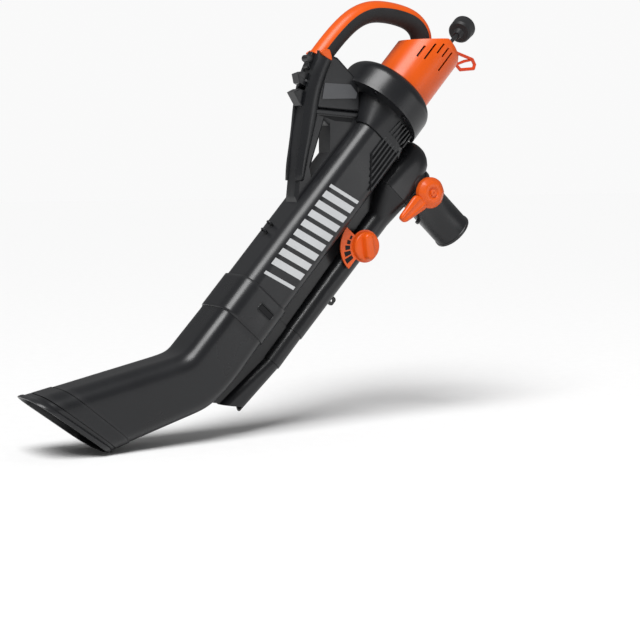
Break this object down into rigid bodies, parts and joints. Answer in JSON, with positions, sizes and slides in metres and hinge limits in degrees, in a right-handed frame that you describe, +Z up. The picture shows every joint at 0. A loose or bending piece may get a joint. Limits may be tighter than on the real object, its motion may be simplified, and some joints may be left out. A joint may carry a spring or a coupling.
{
  "type": "leaf blower",
  "caption": "Corded hand-held leaf blower and vacuum: square suction tube with bent nozzle, fan housing under a motor cover, loop handle, bag spigot with selector lever, side blower tube.",
  "frame": {"origin": "middle of the soft grip on the loop handle, in the middle plane of the machine", "axes": "+X horizontal from the nozzle mouth towards the bag spigot, +Y away from the side with the controls, +Z up, with the suction tube sloping 42 degrees from upright as it is carried"},
  "size_m": [0.8737, 0.164, 0.7232],
  "materials": {
    "black_plastic": "fine-textured semi-matte moulding",
    "orange_plastic": "semi-gloss moulding",
    "soft_grip": "soft matte overmould",
    "panel_grey": "satin",
    "hook_orange": "semi-gloss moulding",
    "steel": "turned",
    "copper": "enamelled winding",
    "aluminium": "cast",
    "carbon": "dull",
    "brass": "plain",
    "cord_rubber": "semi-matte"
  },
  "bodies": {
    "machine": {"blower_tube": "black_plastic", "bridge_far": "black_plastic", "bridge_near": "black_plastic", "bridge_panels": "panel_grey", "bridge_screws": "steel", "brush_holders": "brass", "carbon_brushes": "carbon", "cord_hook": "hook_orange", "fan_housing_lower": "black_plastic", "fan_housing_upper": "black_plastic", "front_clip": "black_plastic", "front_handle_far": "black_plastic", "front_handle_near": "black_plastic", "grip_panels": "soft_grip", "handle_grip": "soft_grip", "handle_screws": "steel", "housing_screws": "steel", "loop_handle": "orange_plastic", "louvre_panel": "black_plastic", "lower_bearing": "steel", "lower_blower_tube": "black_plastic", "lower_tube": "black_plastic", "lower_web": "black_plastic", "motor_cover": "orange_plastic", "motor_frame": "black_plastic", "outlet_pins": "black_plastic", "plug_blades": "brass", "power_cord": "cord_rubber", "power_plug": "cord_rubber", "scale_plate": "orange_plastic", "stator_coils": "copper", "stator_core": "steel", "strain_relief": "cord_rubber", "strap_lug": "black_plastic", "switch_body": "black_plastic", "switch_guard": "black_plastic", "switch_pin": "steel", "tube_hooks": "black_plastic", "tube_web": "black_plastic", "upper_bearing": "steel", "upper_tube": "black_plastic", "valve_body": "black_plastic"},
    "rotor": {"motor_shaft": "steel", "armature": "steel", "commutator": "copper", "cooling_fan": "black_plastic", "impeller": "aluminium", "impeller_nut": "steel"},
    "diverter": {"selector_lever": "orange_plastic", "lever_screw": "steel", "diverter_shaft": "steel", "diverter_flap": "black_plastic"},
    "airflow": {"airflow_knob": "orange_plastic", "throttle_shaft": "steel", "throttle_disc": "black_plastic"},
    "rocker": {"switch_rocker": "soft_grip"},
    "latch": {"latch_button": "black_plastic"}
  },
  "joints": [
    {"name": "rotor_spin", "type": "hinge", "parent": "machine", "child": "rotor", "pos_m": [0.07936, 0, -0.12259], "axis": [0.6691, 0, 0.7431], "continuous": true},
    {"name": "selector_turn", "type": "hinge", "parent": "machine", "child": "diverter", "pos_m": [0.11641, 0, -0.30262], "axis": [0, -1, 0], "range_deg": [0, 90]},
    {"name": "airflow_turn", "type": "hinge", "parent": "machine", "child": "airflow", "pos_m": [-0.0099, 0, -0.39209], "axis": [0, -1, 0], "range_deg": [0, 90]},
    {"name": "rocker_tilt", "type": "hinge", "parent": "machine", "child": "rocker", "pos_m": [-0.11784, 0, -0.11593], "axis": [0, 1, 0], "range_deg": [-6, 6]},
    {"name": "latch_press", "type": "slide", "parent": "machine", "child": "latch", "axis": [0, 1, 0], "range_m": [0, 0.0025], "stiffness_N_per_m": 400, "springref_m": -0.002}
  ]
}
